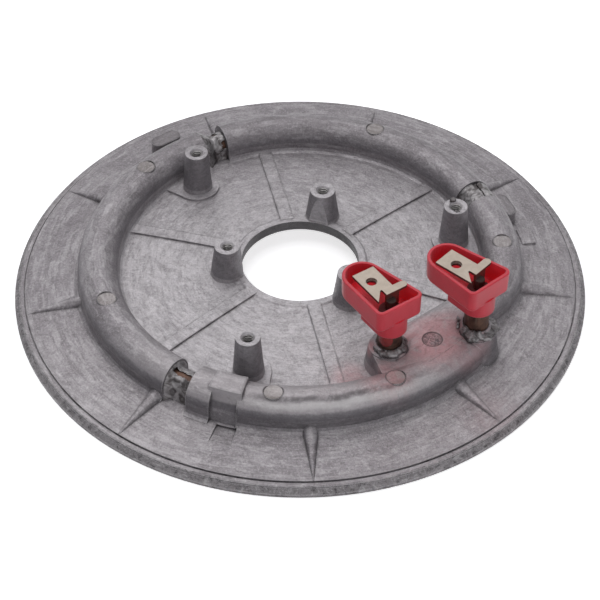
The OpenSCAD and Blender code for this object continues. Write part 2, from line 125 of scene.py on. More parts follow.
def make_lights():
    """A soft box above, a wide one behind, a weak fill in front, and a pale surround."""
    area_light("light_above", (-0.20, 0.15, 1.0), (0, 0, 0), (0.8, 0.8), 4.6)
    area_light("light_behind", (0.05, 0.95, 0.85), (0, 0, 0), (1.6, 1.0), 4.0)
    area_light("light_front", (0.35, -0.85, 0.45), (0, 0, 0.01), (0.6, 0.5), 1.8)
    world = bpy.data.worlds.new("world")
    bpy.context.scene.world = world
    world.use_nodes = True
    nodes, links = world.node_tree.nodes, world.node_tree.links
    nodes.clear()
    out = nodes.new("ShaderNodeOutputWorld")
    seen = nodes.new("ShaderNodeBackground")
    seen.inputs["Color"].default_value = (1, 1, 1, 1)
    lit = nodes.new("ShaderNodeBackground")
    lit.inputs["Color"].default_value = (0.95, 0.96, 1, 1)
    lit.inputs["Strength"].default_value = 0.30
    path = nodes.new("ShaderNodeLightPath")
    mix = nodes.new("ShaderNodeMixShader")
    links.new(path.outputs["Is Camera Ray"], mix.inputs["Fac"])
    links.new(lit.outputs[0], mix.inputs[1])
    links.new(seen.outputs[0], mix.inputs[2])
    links.new(mix.outputs[0], out.inputs["Surface"])


class Graph:
    """A material with short helpers for its nodes."""

    def __init__(self, name):
        self.material = bpy.data.materials.new(name)
        self.material.use_nodes = True
        self.nodes = self.material.node_tree.nodes
        self.links = self.material.node_tree.links
        self.nodes.clear()
        self.out = self.nodes.new("ShaderNodeOutputMaterial")
        self.shader = self.nodes.new("ShaderNodeBsdfPrincipled")
        self.links.new(self.shader.outputs[0], self.out.inputs["Surface"])
        coordinates = self.nodes.new("ShaderNodeTexCoord")
        self.place = coordinates.outputs["Object"]
        self.facing = coordinates.outputs["Normal"]

    def link(self, source, target):
        """Joins a socket, or sets a number or colour."""
        if isinstance(source, bpy.types.NodeSocket):
            self.links.new(source, target)
        else:
            target.default_value = source

    def noise(self, scale, detail=4, rough=0.55, distortion=0.0, vector=None):
        """Noise from 0 to 1, over the piece's places or other ones."""
        node = self.nodes.new("ShaderNodeTexNoise")
        node.inputs["Scale"].default_value = scale
        node.inputs["Detail"].default_value = detail
        node.inputs["Roughness"].default_value = rough
        node.inputs["Distortion"].default_value = distortion
        self.links.new(vector or self.place, node.inputs["Vector"])
        return node.outputs["Fac"]

    def stretch(self, scale, turn=0.0):
        """Places scaled along three axes, after a turn about Z in degrees."""
        turned = self.nodes.new("ShaderNodeMapping")
        turned.inputs["Rotation"].default_value = (0, 0, math.radians(turn))
        self.links.new(self.place, turned.inputs["Vector"])
        node = self.nodes.new("ShaderNodeMapping")
        node.inputs["Scale"].default_value = scale
        self.links.new(turned.outputs["Vector"], node.inputs["Vector"])
        return node.outputs["Vector"]

    def parts(self, vector):
        """The three numbers of a vector."""
        node = self.nodes.new("ShaderNodeSeparateXYZ")
        self.links.new(vector, node.inputs[0])
        return node.outputs[0], node.outputs[1], node.outputs[2]

    def polar(self, turn=0.0):
        """Radius, angle and height of a place about the plate's axis."""
        x, y, z = self.parts(self.stretch((1, 1, 1), turn))
        r = self.math("SQRT", self.math("ADD", self.times(x, x), self.times(y, y)))
        return r, self.math("ARCTAN2", y, x), z

    def ramp(self, value, low, high):
        """Maps low..high of a value to 0..1, clamped."""
        node = self.nodes.new("ShaderNodeMapRange")
        node.interpolation_type = "SMOOTHSTEP"
        node.inputs["From Min"].default_value = low
        node.inputs["From Max"].default_value = high
        self.links.new(value, node.inputs["Value"])
        return node.outputs["Result"]

    def math(self, operation, a, b=0.0):
        """A sum, product or other operation on one or two values."""
        node = self.nodes.new("ShaderNodeMath")
        node.operation = operation
        self.link(a, node.inputs[0])
        self.link(b, node.inputs[1])
        return node.outputs[0]

    def times(self, *values):
        """The product of several values."""
        result = values[0]
        for value in values[1:]:
            result = self.math("MULTIPLY", result, value)
        return result

    def band(self, value, centre, half, soft):
        """1 within half of a centre, and 0 where a value is farther than half and soft together."""
        away = self.math("ABSOLUTE", self.math("SUBTRACT", value, centre))
        return self.ramp(away, half + soft, half)

    def mix(self, factor, a, b):
        """Blends two colours."""
        node = self.nodes.new("ShaderNodeMix")
        node.data_type = "RGBA"
        self.link(factor, node.inputs["Factor"])
        for source, socket in ((a, node.inputs[6]), (b, node.inputs[7])):
            if isinstance(source, tuple):
                socket.default_value = (*source, 1)
            else:
                self.links.new(source, socket)
        return node.outputs[2]

    def distance(self, point, flat=False):
        """Distance in metres to a point given in millimetres, or to the upright line through it."""
        node = self.nodes.new("ShaderNodeVectorMath")
        node.operation = "DISTANCE"
        self.links.new(self.stretch((1, 1, 0)) if flat else self.place, node.inputs[0])
        node.inputs[1].default_value = tuple(v * MM for v in point)
        return node.outputs["Value"]

    def near(self, point, inner, outer):
        """1 within the inner distance of a point and 0 past the outer one, in millimetres."""
        return self.ramp(self.distance(point), outer * MM, inner * MM)

    def openness(self, reach):
        """1 on open faces and less in corners, from what lies within a reach in millimetres."""
        node = self.nodes.new("ShaderNodeAmbientOcclusion")
        node.samples = 6
        node.inputs["Distance"].default_value = reach * MM
        return node.outputs["AO"]

    def rounded(self, radius):
        """Normals that soften every edge by a radius in millimetres."""
        node = self.nodes.new("ShaderNodeBevel")
        node.samples = 4
        node.inputs["Radius"].default_value = radius * MM
        return node.outputs["Normal"]

    def blend(self, factor, a, b):
        """Blends two normals."""
        node = self.nodes.new("ShaderNodeMix")
        node.data_type = "VECTOR"
        self.link(factor, node.inputs["Factor"])
        self.links.new(a, node.inputs[4])
        self.links.new(b, node.inputs[5])
        return node.outputs[1]

    def bump(self, height, distance, strength=1.0, normal=None):
        """Relief of a depth in millimetres."""
        node = self.nodes.new("ShaderNodeBump")
        node.inputs["Strength"].default_value = strength
        node.inputs["Distance"].default_value = distance * MM
        self.links.new(height, node.inputs["Height"])
        if normal is not None:
            self.links.new(normal, node.inputs["Normal"])
        return node.outputs["Normal"]

    def finish(self, colour, roughness, normal=None, metallic=0.0):
        """Fills the shader and gives the material."""
        self.link(colour, self.shader.inputs["Base Color"])
        self.link(roughness, self.shader.inputs["Roughness"])
        self.shader.inputs["Metallic"].default_value = metallic
        if normal is not None:
            self.links.new(normal, self.shader.inputs["Normal"])
        return self.material


def drawn_out(g, across, along, detail=2):
    """Noise drawn out round the plate's axis; its seam lies on a spoke."""
    r, angle, z = g.polar(180 - SPOKE_SEAM_A)
    join = g.nodes.new("ShaderNodeCombineXYZ")
    g.link(g.math("MULTIPLY", r, 1 / (across * MM)), join.inputs[0])
    g.link(g.math("MULTIPLY", angle, RING_R / along), join.inputs[1])
    g.link(g.math("MULTIPLY", z, 1 / (across * MM)), join.inputs[2])
    return g.noise(1.0, detail, 0.55, 0.6, join.outputs[0])


def mark_distance(g, places):
    """Distance to the nearest of the ejector marks' axes."""
    nearest = None
    for x, y in places:
        away = g.distance((x, y, 0), flat=True)
        nearest = away if nearest is None else g.math("MINIMUM", nearest, away)
    return nearest


def stained(g, colour):
    """Reddish residue between and round the terminals."""
    blots = g.ramp(g.noise(170, 5, 0.7, 0.8), 0.26, 0.56)
    for place, inner, outer, share in (
        ((38, -42, 15), 4, 15, 0.80),
        ((45, -36, 15), 2, 10, 0.60),
        ((50, -44, 15), 2, 11, 0.45),
        ((25, -56, 14), 2, 11, 0.60),
        ((15, -50, 7), 1, 9, 0.60),
        ((20.3, -44.5, 14.5), 1, 4, 0.90),
        ((57, -62, 6), 2, 14, 0.15),
    ):
        colour = g.mix(g.times(g.near(place, inner, outer), blots, share), colour, (0.530, 0.300, 0.315))
    burnt = g.times(g.near((41, -41, 15), 5, 15), g.ramp(g.noise(290, 5, 0.72, 1.2), 0.50, 0.66))
    return g.mix(g.times(burnt, 0.42), colour, (0.170, 0.090, 0.095))


def side_lines(g, r, angle, count, first, half_w, soft):
    """Painted shade as dark broken lines along both sides of equal spokes or ribs; half_w is a socket or
    a number.
    """
    period = 2 * math.pi / count
    turned = g.math("SUBTRACT", angle, math.radians(first))
    wrap = g.nodes.new("ShaderNodeMath")
    wrap.operation = "WRAP"
    g.link(turned, wrap.inputs[0])
    wrap.inputs[1].default_value = period / 2
    wrap.inputs[2].default_value = -period / 2
    off = g.math("ABSOLUTE", g.times(r, g.math("SINE", wrap.outputs[0])))
    shake = g.times(g.math("SUBTRACT", g.noise(420, 3, 0.7), 0.5), 0.9 * MM)
    gap = g.math("ADD", g.math("SUBTRACT", off, half_w), shake)
    return g.times(g.band(gap, 0.0, 0.06 * MM, soft * MM), g.ramp(g.noise(210, 3, 0.7), 0.38, 0.58))


def painted_side_shade(g, r, angle, z):
    """Painted shade along the sides of the spokes on the web and of the ribs on the flange."""
    low = g.ramp(z, 10.5 * MM, 9.5 * MM)
    web = g.times(g.ramp(r, 20.5 * MM, 21.5 * MM), g.ramp(r, 57.5 * MM, 56.0 * MM), low)
    spokes = g.times(side_lines(g, r, angle, SPOKE_N, SPOKE_A, SPOKE_HALF_W * MM, 0.55), web)
    taper = g.times(g.math("SUBTRACT", RIB_TIP_R * MM, r), RIB_HALF_W / (RIB_TIP_R - RIB_FROM_R))
    flange = g.times(g.ramp(r, 70.0 * MM, 71.0 * MM), g.ramp(r, 86.0 * MM, 84.5 * MM))
    ribs = g.times(side_lines(g, r, angle, RIB_N, RIB_A, taper, 0.50), flange)
    return g.math("MAXIMUM", spokes, ribs)


def lit_edge_mask(g, radius):
    """1 on sharp outer edges, from how far the rounded normal leans away from the true one; the mask of
    the painted edge highlights.
    """
    geometry = g.nodes.new("ShaderNodeNewGeometry")
    lean = g.nodes.new("ShaderNodeVectorMath")
    lean.operation = "DOT_PRODUCT"
    g.links.new(g.rounded(radius), lean.inputs[0])
    g.links.new(geometry.outputs["Normal"], lean.inputs[1])
    return g.ramp(lean.outputs["Value"], 0.985, 0.88)


def painted_lap(g, r, angle, crown):
    """The cold lap along the front of the bead: painted shade for its crease and a painted highlight on
    the fold beside it.
    """
    wobble = g.math("ADD", r, g.times(g.math("SUBTRACT", g.noise(90, 3, 0.6), 0.5), 2.4 * MM))
    stretch = g.band(angle, math.radians(LAP_A), math.radians(15), math.radians(14))
    broken = g.math("ADD", g.times(g.ramp(g.noise(330, 3, 0.6), 0.35, 0.6), 0.6), 0.4)
    crease = g.times(g.band(wobble, LAP_R * MM, 0.10 * MM, 1.5 * MM), stretch, crown, broken)
    fold = g.times(g.band(wobble, (LAP_R + 1.8) * MM, 0.2 * MM, 1.0 * MM), stretch, crown)
    return crease, fold


def mottled(g, r, web, upper):
    """Clouded grey metal with flow marks and sand, with painted light making the web's front half and the
    front of the flange paler.
    """
    x, y, _ = g.parts(g.place)
    clouds = g.ramp(g.noise(38, 6, 0.66, 0.9), 0.34, 0.68)
    colour = g.mix(clouds, (0.286, 0.262, 0.279), (0.390, 0.364, 0.382))
    # painted light: the web paler towards the front
    colour = g.mix(g.times(web, g.ramp(y, 80 * MM, -10 * MM), 0.82), colour, (0.575, 0.548, 0.568))
    # painted light: the front of the flange paler, away from the middle
    flange = g.times(g.ramp(r, 70 * MM, 72 * MM), g.ramp(y, 0.0, -50 * MM), upper)
    beside = g.ramp(g.math("ABSOLUTE", x), 5 * MM, 40 * MM)
    colour = g.mix(g.times(flange, beside, 0.34), colour, (0.560, 0.526, 0.542))
    swirl = g.ramp(g.noise(1.0, 5, 0.62, 2.4, g.stretch((105, 190, 150), 35)), 0.46, 0.66)
    colour = g.mix(g.times(swirl, 0.27), colour, (0.165, 0.146, 0.153))
    bands = g.ramp(drawn_out(g, 2.4, 13.0), 0.44, 0.62)
    colour = g.mix(g.times(bands, 0.24), colour, (0.180, 0.163, 0.170))
    streaks = g.ramp(drawn_out(g, 0.55, 5.0, 3), 0.48, 0.66)
    colour = g.mix(g.times(streaks, 0.30), colour, (0.170, 0.154, 0.160))
    pale = g.ramp(drawn_out(g, 1.6, 7.0), 0.50, 0.66)
    colour = g.mix(g.times(pale, 0.30), colour, (0.660, 0.630, 0.646))
    flecks = g.noise(380, 3, 0.62, 1.2)
    colour = g.mix(g.times(g.ramp(flecks, 0.54, 0.70), 0.18), colour, (0.120, 0.106, 0.110))
    colour = g.mix(g.times(g.ramp(flecks, 0.44, 0.30), 0.18), colour, (0.700, 0.675, 0.688))
    sand = g.noise(1500, 3, 0.8)
    colour = g.mix(g.times(g.ramp(sand, 0.52, 0.68), 0.30), colour, (0.095, 0.085, 0.090))
    return g.mix(g.times(g.ramp(sand, 0.48, 0.34), 0.30), colour, (0.720, 0.700, 0.710))


def painted_wall_shade(g, colour, r, z, up, off_pad):
    """Painted shade on steep faces, darkest in the centre hole and along the front of the bead; the
    blocks are also darkened near their tops.
    """
    _, y, _ = g.parts(g.place)
    # painted shade: steep faces darkened, less so low down and on the raised pad
    steep_shade = g.ramp(g.math("ABSOLUTE", up), 0.80, 0.25)
    tall = g.math("SUBTRACT", 1.0, g.times(g.ramp(z, 9.8 * MM, 9.3 * MM), 0.60))
    colour = g.mix(g.times(steep_shade, tall, off_pad, 0.60), colour, (0.120, 0.112, 0.124))
    # painted shade deep in the centre hole
    in_hole = g.ramp(r, (HOLE_R + 0.25) * MM, (HOLE_R + 0.1) * MM)
    hole = g.times(steep_shade, in_hole, g.ramp(z, 9.0 * MM, 8.6 * MM))
    colour = g.mix(g.times(hole, 0.85), colour, (0.030, 0.028, 0.030))
    # the blocks darkened near their tops
    blocks = g.times(g.ramp(r, 70.4 * MM, 71.0 * MM), g.band(z, 9.8 * MM, 0.2 * MM, 0.3 * MM))
    colour = g.mix(g.times(blocks, 0.50), colour, (0.170, 0.155, 0.160))
    # painted shade on the bead's outer wall at the front
    outer = g.times(steep_shade, g.band(r, 69 * MM, 2 * MM, 2 * MM), g.ramp(y, -20 * MM, -50 * MM))
    return g.mix(g.times(outer, 0.36), colour, (0.060, 0.058, 0.066))


def crown_light_and_marks(g, colour, r, angle, z):
    """The bead's crown: painted light in front and painted shade behind, with the lap, the ejector marks
    and the stains.
    """
    _, y, _ = g.parts(g.place)
    crown = g.ramp(z, 11.5 * MM, 12.5 * MM)
    # painted light: the crown paler in front
    front = g.times(crown, g.ramp(r, 54 * MM, 57 * MM), g.ramp(y, -35 * MM, -58 * MM))
    colour = g.mix(g.times(front, 0.32), colour, (0.640, 0.600, 0.612))
    # painted shade: the crown darker behind
    colour = g.mix(g.times(crown, g.ramp(y, 25 * MM, 55 * MM), 0.30), colour, (0.130, 0.118, 0.124))
    crease, fold = painted_lap(g, r, angle, crown)
    # painted shade in the lap's crease and a painted highlight on its fold
    colour = g.mix(g.times(crease, 0.74), colour, (0.085, 0.076, 0.080))
    colour = g.mix(g.times(fold, 0.60), colour, (0.66, 0.64, 0.64))
    crown_marks = [tuple(on_ring(RING_R, a, 0).xy / MM) for a in MARK_ANGLES]
    away = mark_distance(g, crown_marks)
    disc = g.times(g.ramp(away, (MARK_R + 0.1) * MM, (MARK_R - 0.3) * MM), crown)
    colour = g.mix(g.times(disc, 0.20), colour, (0.380, 0.330, 0.265))
    colour = stained(g, colour)
    dark_away = mark_distance(g, [PLATFORM_MARK])
    dark_disc = g.times(g.ramp(dark_away, MARK_R * MM, (MARK_R - 0.5) * MM), crown)
    scratched = g.ramp(g.noise(700, 4, 0.7, 1.5), 0.35, 0.60)
    colour = g.mix(g.times(dark_disc, scratched, 0.75), colour, (0.070, 0.050, 0.055))
    nearest = g.math("MINIMUM", away, dark_away)
    outline = g.times(g.band(nearest, MARK_R * MM, 0.06 * MM, 0.30 * MM), crown)
    return g.mix(g.times(outline, 0.75), colour, (0.055, 0.048, 0.048))


def crumbled_rim(g, colour, r):
    """The rim's lip and foot: darker, with coarse dark and pale crumbs."""
    edge = g.ramp(r, (LIP_R - 0.2) * MM, (LIP_R + 0.5) * MM)
    colour = g.mix(g.times(edge, 0.44), colour, (0.140, 0.132, 0.134))
    crumbs = g.noise(620, 4, 0.75, 0.8)
    colour = g.mix(g.times(edge, g.ramp(crumbs, 0.52, 0.64), 0.80), colour, (0.060, 0.055, 0.058))
    return g.mix(g.times(edge, g.ramp(crumbs, 0.46, 0.36), 0.45), colour, (0.600, 0.585, 0.590))


def edge_light_and_corner_shade(g, colour, r, z, web, off_pad):
    """Painted highlights on outer edges and painted shade in corners; the corner shade stays calmer in
    the rim's groove and on the web.
    """
    openness = g.openness(1.8)
    # painted highlight on open outer edges
    crest = g.times(lit_edge_mask(g, 0.45), g.ramp(openness, 0.55, 0.85))
    colour = g.mix(g.times(crest, 0.60), colour, (0.640, 0.620, 0.630))
    groove = g.band(r, (LIP_R - 1.4) * MM, 1.0 * MM, 0.5 * MM)
    calm = g.times(groove, g.ramp(g.noise(150, 4, 0.7), 0.26, 0.52), 0.88)
    calm = g.math("MAXIMUM", calm, g.times(web, g.ramp(z, 9.8 * MM, 9.3 * MM), 0.86))
    # painted shade in corners and creases, from ambient occlusion
    dark = g.times(g.ramp(openness, 0.86, 0.42), g.math("SUBTRACT", 1.0, calm), off_pad, 0.80)
    return g.mix(dark, colour, (0.050, 0.044, 0.048))


def cast_colour(g):
    """Colour of the casting, with a plain and paler face beneath."""
    r, angle, z = g.polar()
    _, _, up = g.parts(g.facing)
    upper = g.ramp(up, -0.8, -0.4)
    web = g.times(g.ramp(r, 58.5 * MM, 56.5 * MM), upper)
    off_pad = g.math("SUBTRACT", 1.0, g.times(g.near(RAISED_PAD, 4.5, 6.5), 0.75))
    colour = mottled(g, r, web, upper)
    below = g.mix(0.45, colour, (0.520, 0.500, 0.510))
    colour = painted_wall_shade(g, colour, r, z, up, off_pad)
    colour = crown_light_and_marks(g, colour, r, angle, z)
    colour = crumbled_rim(g, colour, r)
    # painted shade along the sides of the spokes and ribs
    colour = g.mix(g.times(painted_side_shade(g, r, angle, z), 0.40), colour, (0.085, 0.076, 0.078))
    colour = edge_light_and_corner_shade(g, colour, r, z, web, off_pad)
    return g.mix(upper, below, colour)


def cast_aluminium():
    """Dull grey die casting, sandy to the touch, with softened edges and a turned face beneath."""
    g = Graph("cast_aluminium")
    rough = g.math("ADD", g.times(g.ramp(g.noise(260, 4, 0.6), 0.2, 0.9), 0.24), 0.38)
    soft = g.near(SADDLE, 7.5, 10.5)
    for place in BLOCKS:
        soft = g.math("MAXIMUM", soft, g.near(place, 5.5, 7.5))
    normal = g.blend(soft, g.rounded(0.4), g.rounded(1.5))
    normal = g.bump(g.noise(100, 5, 0.6, 0.5), 1.2, 0.50, normal)
    normal = g.bump(g.noise(330, 5, 0.7, 1.4), 0.38, 0.70, normal)
    normal = g.bump(g.noise(1150, 4, 0.8), 0.20, 0.95, normal)
    r, _, _ = g.polar()
    _, _, up = g.parts(g.facing)
    waves = g.math("SINE", g.times(r, 2 * math.pi / (TURNING_PITCH * MM)))
    normal = g.bump(g.times(waves, g.ramp(up, -0.5, -0.9)), 0.03, 0.5, normal)
    return g.finish(cast_colour(g), rough, normal, 0.60)


def browned_steel():
    """Heat-browned tube, with paler scuffs."""
    g = Graph("browned_steel")
    clouds = g.ramp(g.noise(260, 5, 0.65, 0.5), 0.35, 0.70)
    colour = g.mix(clouds, (0.050, 0.027, 0.020), (0.150, 0.082, 0.058))
    scuff = g.ramp(g.noise(1.0, 4, 0.6, 0.3, g.stretch((900, 900, 90))), 0.58, 0.74)
    colour = g.mix(g.times(scuff, 0.45), colour, (0.24, 0.18, 0.14))
    grain = g.bump(g.noise(1500, 3, 0.7), 0.10, 0.5)
    return g.finish(colour, g.math("ADD", g.times(clouds, 0.2), 0.32), grain, 0.70)


def red_rubber():
    """Satin silicone with a faint dust, a cast grain, and painted light that makes its hollows a brighter
    red.
    """
    g = Graph("red_rubber")
    clouds = g.ramp(g.noise(160, 4, 0.6, 0.4), 0.3, 0.75)
    colour = g.mix(clouds, (0.550, 0.024, 0.045), (0.630, 0.034, 0.058))
    dust = g.ramp(g.noise(1900, 3, 0.7), 0.58, 0.80)
    colour = g.mix(g.times(dust, 0.22), colour, (0.66, 0.20, 0.22))
    # painted light: hollows glow a brighter, deeper red
    inside = g.ramp(g.openness(7.0), 0.80, 0.35)
    colour = g.mix(inside, colour, (0.950, 0.012, 0.034))
    grain = g.bump(g.noise(700, 4, 0.6), 0.10, 0.35, g.rounded(0.35))
    material = g.finish(colour, g.math("ADD", g.times(clouds, 0.12), 0.40), grain)
    g.shader.inputs["Subsurface Weight"].default_value = 0.30
    g.shader.inputs["Subsurface Radius"].default_value = (0.003, 0.0008, 0.0008)
    g.shader.inputs["Subsurface Scale"].default_value = 1.0
    g.shader.inputs["Sheen Weight"].default_value = 0.20
    g.shader.inputs["Sheen Roughness"].default_value = 0.5
    return material


def dull_nickel():
    """Warm grey plating with specks and faint rolling marks, with painted shade in dark red on its steep
    sides.
    """
    g = Graph("dull_nickel")
    clouds = g.ramp(g.noise(300, 5, 0.65, 0.6), 0.3, 0.75)
    colour = g.mix(clouds, (0.430, 0.362, 0.300), (0.545, 0.470, 0.400))
    specks = g.ramp(g.noise(2200, 3, 0.7), 0.62, 0.80)
    colour = g.mix(g.times(specks, 0.4), colour, (0.20, 0.16, 0.12))
    # painted shade: steep sides darkened to a dark red
    _, _, up = g.parts(g.facing)
    sides = g.ramp(g.math("ABSOLUTE", up), 0.7, 0.2)
    colour = g.mix(g.times(sides, 0.85), colour, (0.100, 0.026, 0.024))
    brush = g.bump(g.noise(1.0, 4, 0.6, 0.0, g.stretch((2600, 700, 700), 35)), 0.06, 0.4, g.rounded(0.25))
    return g.finish(colour, g.math("ADD", g.times(clouds, 0.15), 0.42), brush, 0.55)


def pin_steel():
    """Very dark pin metal: painted shade."""
    g = Graph("pin_steel")
    clouds = g.ramp(g.noise(400, 4, 0.6), 0.3, 0.75)
    # painted shade: the pin's colour kept very dark
    colour = g.mix(clouds, (0.036, 0.022, 0.020), (0.080, 0.050, 0.044))
    grain = g.bump(g.noise(1800, 3, 0.6), 0.06, 0.4)
    g.shader.inputs["Specular IOR Level"].default_value = 0.15
    return g.finish(colour, 0.8, grain)


def seal_compound():
    """Brownish red sealing compound in the sheath's mouths."""
    g = Graph("seal_compound")
    clouds = g.ramp(g.noise(500, 4, 0.6), 0.3, 0.75)
    colour = g.mix(clouds, (0.110, 0.022, 0.024), (0.190, 0.040, 0.040))
    grain = g.bump(g.noise(1500, 3, 0.6), 0.12, 0.6)
    return g.finish(colour, 0.7, grain)


def sealed_powder():
    """Compacted white powder inside the sheath."""
    g = Graph("sealed_powder")
    clouds = g.ramp(g.noise(700, 4, 0.6), 0.3, 0.75)
    colour = g.mix(clouds, (0.66, 0.63, 0.57), (0.80, 0.78, 0.72))
    return g.finish(colour, 0.9, g.bump(g.noise(1800, 3, 0.7), 0.1, 0.6))


def bright_break():
    """Torn and smeared aluminium of the skins, the flash and the chips, with painted shade in their
    corners.
    """
    g = Graph("bright_break")
    clouds = g.ramp(g.noise(360, 4, 0.62, 0.8), 0.34, 0.68)
    colour = g.mix(clouds, (0.090, 0.080, 0.080), (0.430, 0.412, 0.418))
    # painted shade in corners, from ambient occlusion
    corners = g.ramp(g.openness(0.9), 0.85, 0.45)
    colour = g.mix(g.times(corners, 0.7), colour, (0.045, 0.038, 0.036))
    return g.finish(colour, 0.40, g.bump(g.noise(1500, 4, 0.7), 0.22, 0.8), 0.7)


def cut_thread():
    """Bright cut metal of the threads in the bosses."""
    g = Graph("cut_thread")
    clouds = g.ramp(g.noise(900, 3, 0.6), 0.3, 0.7)
    colour = g.mix(clouds, (0.52, 0.50, 0.49), (0.78, 0.76, 0.74))
    return g.finish(colour, 0.32, g.bump(g.noise(1500, 3, 0.6), 0.05, 0.4), 0.8)


def red_drip():
    """Glossy dark red residue."""
    g = Graph("red_drip")
    clouds = g.ramp(g.noise(600, 3, 0.6), 0.3, 0.75)
    colour = g.mix(clouds, (0.180, 0.016, 0.016), (0.300, 0.035, 0.032))
    material = g.finish(colour, 0.25, g.bump(g.noise(900, 3, 0.5), 0.1, 0.3))
    g.shader.inputs["Coat Weight"].default_value = 0.3
    return material


def floor_material():
    """Pale floor that shows white to the camera and keeps the plate's shadow; it glows more far off."""
    g = Graph("floor")
    seen = g.nodes.new("ShaderNodeEmission")
    seen.inputs["Color"].default_value = (1, 1, 1, 1)
    far = g.ramp(g.distance((0, 0, 0)), 0.5, 2.0)
    g.link(g.math("ADD", g.times(far, 0.30), 0.62), seen.inputs["Strength"])
    path = g.nodes.new("ShaderNodeLightPath")
    add = g.nodes.new("ShaderNodeAddShader")
    mix = g.nodes.new("ShaderNodeMixShader")
    shows = g.math("MAXIMUM", path.outputs["Is Camera Ray"], path.outputs["Is Glossy Ray"])
    g.finish((0.80, 0.80, 0.81, 1), 0.9)
    g.links.new(g.shader.outputs[0], add.inputs[0])
    g.links.new(seen.outputs[0], add.inputs[1])
    g.links.new(shows, mix.inputs["Fac"])
    g.links.new(g.shader.outputs[0], mix.inputs[1])
    g.links.new(add.outputs[0], mix.inputs[2])
    g.links.new(mix.outputs[0], g.out.inputs["Surface"])
    return g.material


def make_floor():
    """A wide pale floor just under the rim's foot."""
    mesh = bpy.data.meshes.new("floor")
    side, level = 6.0, -0.0002
    corners = [(-side, -side, level), (side, -side, level), (side, side, level), (-side, side, level)]
    mesh.from_pydata(corners, [], [(0, 1, 2, 3)])
    floor = bpy.data.objects.new("floor", mesh)
    bpy.context.scene.collection.objects.link(floor)
    mesh.materials.append(floor_material())


def piece(name, bm, material):
    """Puts a mesh into the scene as a piece of the plate."""
    mesh = bpy.data.meshes.new(name)
    bmesh.ops.recalc_face_normals(bm, faces=bm.faces[:])
    bm.to_mesh(mesh)
    bm.free()
    for polygon in mesh.polygons:
        polygon.use_smooth = True
    made = bpy.data.objects.new(name, mesh)
    bpy.context.scene.collection.objects.link(made)
    mesh.materials.append(material)
    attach(made, "root")
    return made


def wavering(point, seed, octaves=4):
    """Smooth random value near -1..1 at a point in millimetres."""
    return noise.fractal(Vector(point) + Vector((seed, seed * 0.7, -seed)), 0.9, 2.1, octaves)


def thread(bm, centre, top_z, length, pitch=0.7, depth=0.22, turn_steps=28):
    """A helical ridge inside a tapped hole."""
    count = int(length / pitch * turn_steps)
    rings = []
    for i in range(count + 1):
        a = 2 * math.pi * i / turn_steps
        z = top_z - pitch * i / turn_steps
        fade = min(1, i / turn_steps, (count - i) / turn_steps)
        out_r, in_r = THREAD_R + 0.02, THREAD_R - depth * fade
        half = pitch * 0.42
        ring = []
        for r, dz in ((out_r, half), (in_r, 0.06), (in_r, -0.06), (out_r, -half)):
            x = centre[0] + r * math.cos(a)
            y = centre[1] + r * math.sin(a)
            ring.append(bm.verts.new((x * MM, y * MM, (z + dz) * MM)))
        rings.append(ring)
    for one, two in zip(rings, rings[1:]):
        for k in range(4):
            bm.faces.new((one[k], one[(k + 1) % 4], two[(k + 1) % 4], two[k]))
    bm.faces.new(rings[0])
    bm.faces.new(list(reversed(rings[-1])))


def make_threads(materials):
    """The threads in the six bosses and in both tabs."""
    bm = bmesh.new()
    for k in range(3):
        tall_hole = on_ring(TALL_R, TALL_A + 120 * k, 0) / MM
        short_hole = on_ring(SHORT_R, SHORT_A + 120 * k, 0) / MM
        thread(bm, tall_hole, TALL_Z - THREAD_SINK, TALL_THREAD_L)
        thread(bm, short_hole, SHORT_Z - THREAD_SINK, SHORT_THREAD_L)
    piece("boss_threads", bm, materials["thread"])
    bm = bmesh.new()
    for x, y, top_z in TAB_HOLES:
        thread(bm, (x, y), top_z - 0.3, TAB_HOLE_DEPTH - 0.6, 0.5, 0.16)
    piece("tab_threads", bm, materials["tab"])


def shard(bm, centre, size, rng):
    """A small jagged lump."""
    made = bmesh.ops.create_icosphere(bm, subdivisions=2, radius=1)
    spin = Matrix.Rotation(rng.uniform(0, 6.28), 3, "Z") @ Matrix.Rotation(rng.uniform(-0.5, 0.5), 3, "X")
    for v in made["verts"]:
        p = v.co * rng.uniform(0.72, 1.25)
        p = Vector((p.x * size[0], p.y * size[1], p.z * size[2]))
        v.co = (Vector(centre) + spin @ p) * MM


def ragged_collar(bm, centre, foot_z, low, high, width, crest_a, smear_a, seed, steps=144):
    """Torn metal round a lead: it stands high towards one side and is smeared out towards another."""
    rings = []
    for i in range(steps):
        a = 2 * math.pi * i / steps
        around = Vector((math.cos(a), math.sin(a), 0))
        crest = smooth(0.5 + 0.7 * math.cos(a - math.radians(crest_a)))
        smear = smooth(0.5 + 0.7 * math.cos(a - math.radians(smear_a)))
        jag = wavering(around * 3.4, seed + 3, 3)
        height = low + (high - low) * crest * (0.8 + 0.5 * jag) + 0.28 * jag
        spread = width * (0.35 + 0.65 * smear + 0.32 * wavering(around * 2.6, seed + 8, 3))
        section = (
            (TUBE_R + 0.03, -0.6),
            (TUBE_R + 0.03, 0.85 * height),
            (TUBE_R + 0.30 + 0.1 * jag, height),
            (TUBE_R + 0.35 * spread, 0.62 * height + 0.1 * jag),
            (TUBE_R + 0.7 * spread, 0.18 * height + 0.15 * jag),
            (TUBE_R + spread, -0.5),
        )
        ring = []
        for r, dz in section:
            p = Vector((centre[0], centre[1], foot_z + dz)) + around * r
            ring.append(bm.verts.new(p * MM))
        rings.append(ring)
    for one, two in zip(rings, rings[1:] + rings[:1]):
        for k in range(len(one)):
            after = (k + 1) % len(one)
            bm.faces.new((one[k], one[after], two[after], two[k]))


